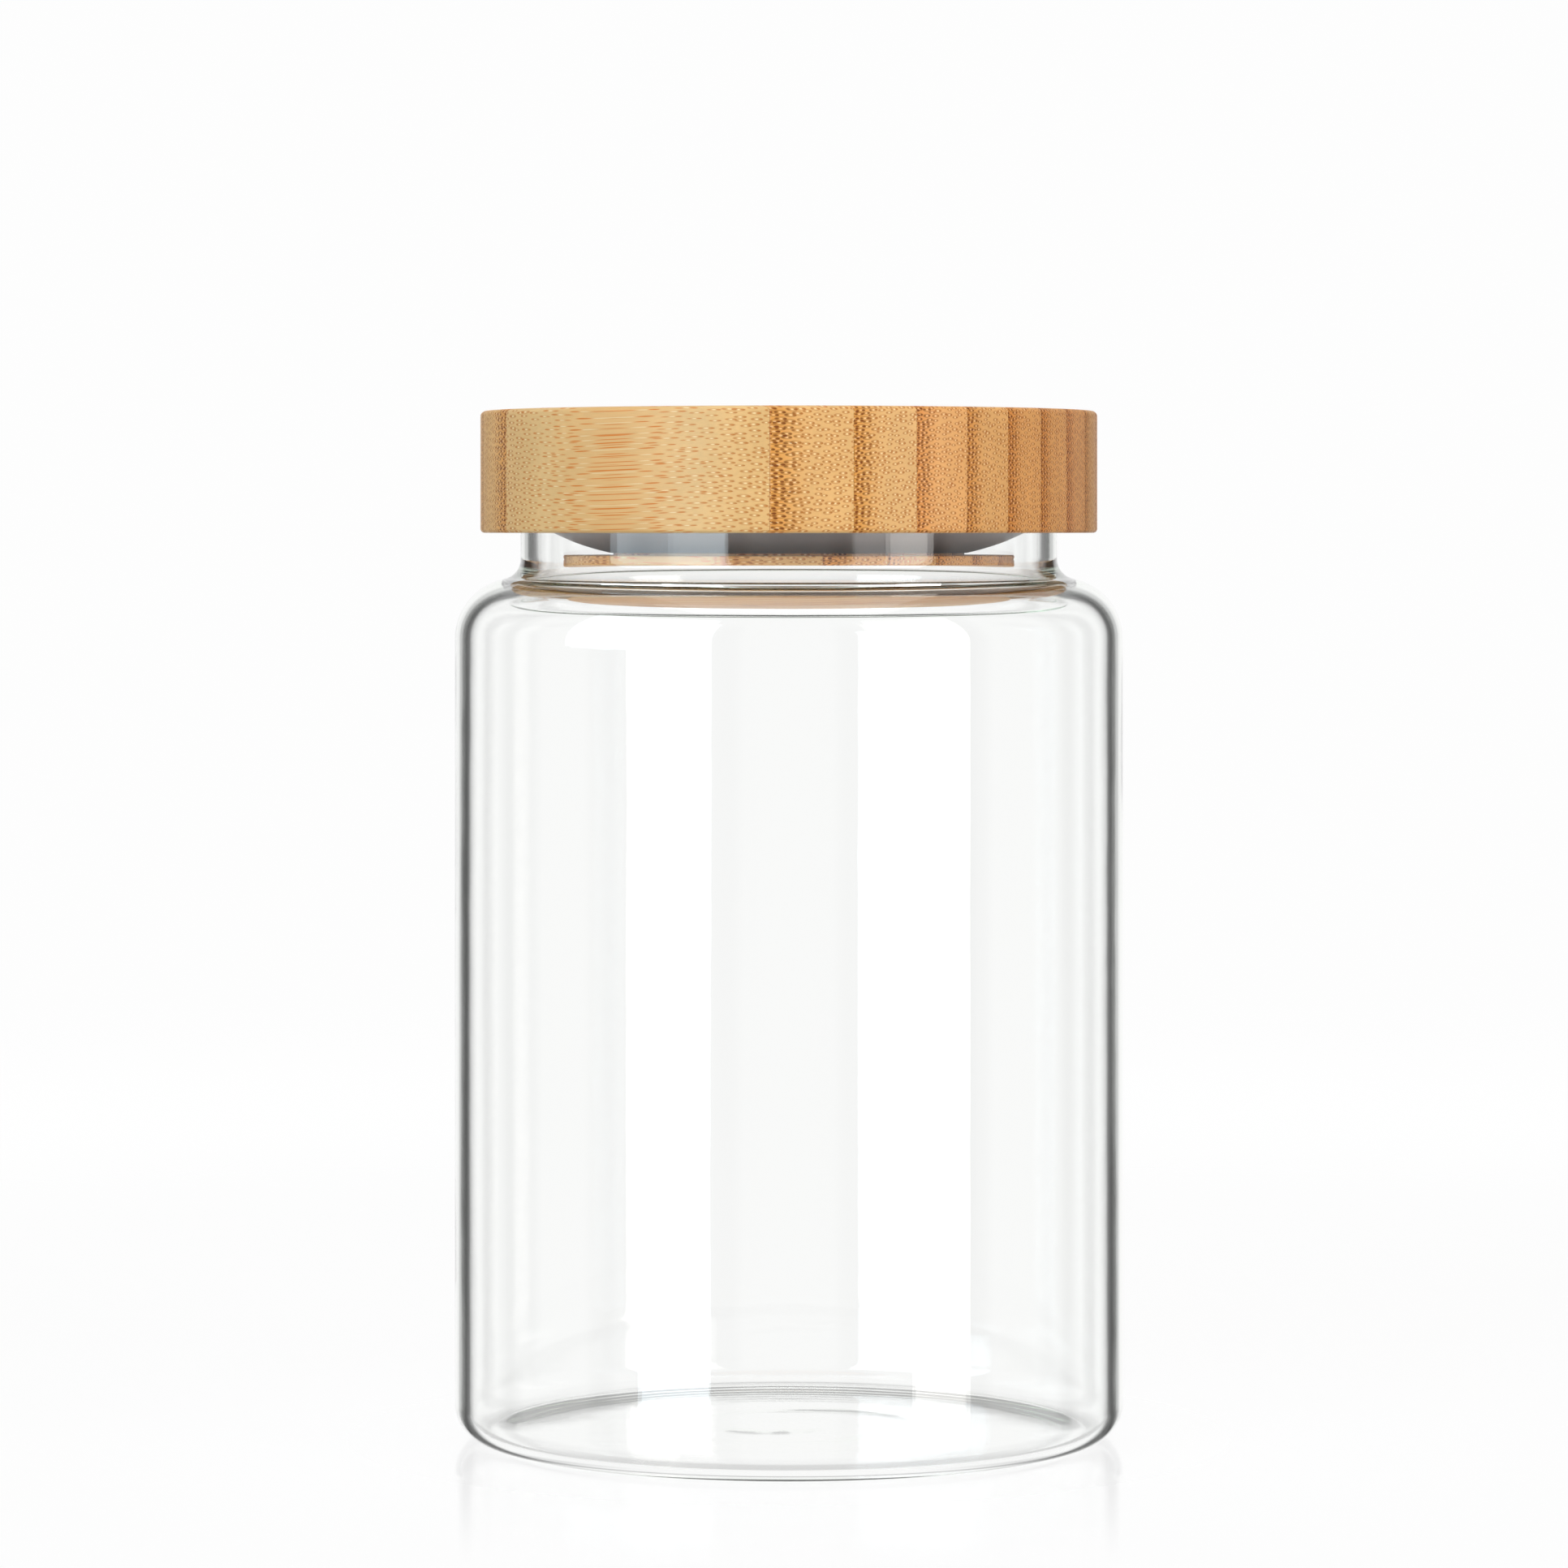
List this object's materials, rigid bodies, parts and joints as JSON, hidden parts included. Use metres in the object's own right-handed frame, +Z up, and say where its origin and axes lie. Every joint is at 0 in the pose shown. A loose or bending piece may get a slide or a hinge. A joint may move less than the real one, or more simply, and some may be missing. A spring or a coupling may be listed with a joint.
{
  "type": "lidded glass canister",
  "caption": "Clear round glass storage canister with a straight body, rounded shoulder and short neck, closed by a lift-off laminated bamboo lid with a silicone sealing ring.",
  "frame": {"origin": "centre of the ring that the jar stands on, on the surface it stands on", "axes": "+Z up the axis of the jar and lid; -Y towards the front, where the view is taken from; +X to that view's right"},
  "size_m": [0.1, 0.1, 0.1534],
  "materials": {
    "clear_glass": "clear blown borosilicate glass, fire polished",
    "silicone": "translucent grey silicone, smooth and glossy",
    "bamboo": "sanded and lightly oiled laminated bamboo, satin"
  },
  "bodies": {
    "jar": {"glass_jar": "clear_glass"},
    "seal": {"seal_ring": "silicone"},
    "lid": {"bamboo_strip_01": "bamboo", "bamboo_strip_02": "bamboo", "bamboo_strip_03": "bamboo", "bamboo_strip_04": "bamboo", "bamboo_strip_05": "bamboo", "bamboo_strip_06": "bamboo", "bamboo_strip_07": "bamboo", "bamboo_strip_08": "bamboo", "bamboo_strip_09": "bamboo", "bamboo_strip_10": "bamboo", "bamboo_strip_11": "bamboo", "bamboo_strip_12": "bamboo", "bamboo_strip_13": "bamboo"}
  },
  "joints": [
    {"name": "lid_lift", "type": "slide", "parent": "jar", "child": "seal", "axis": [0, 0, 1], "range_m": [0, 0.11]},
    {"name": "lid_turn", "type": "hinge", "parent": "seal", "child": "lid", "pos_m": [0, 0, 0.1352], "axis": [0, 0, 1], "continuous": true}
  ]
}
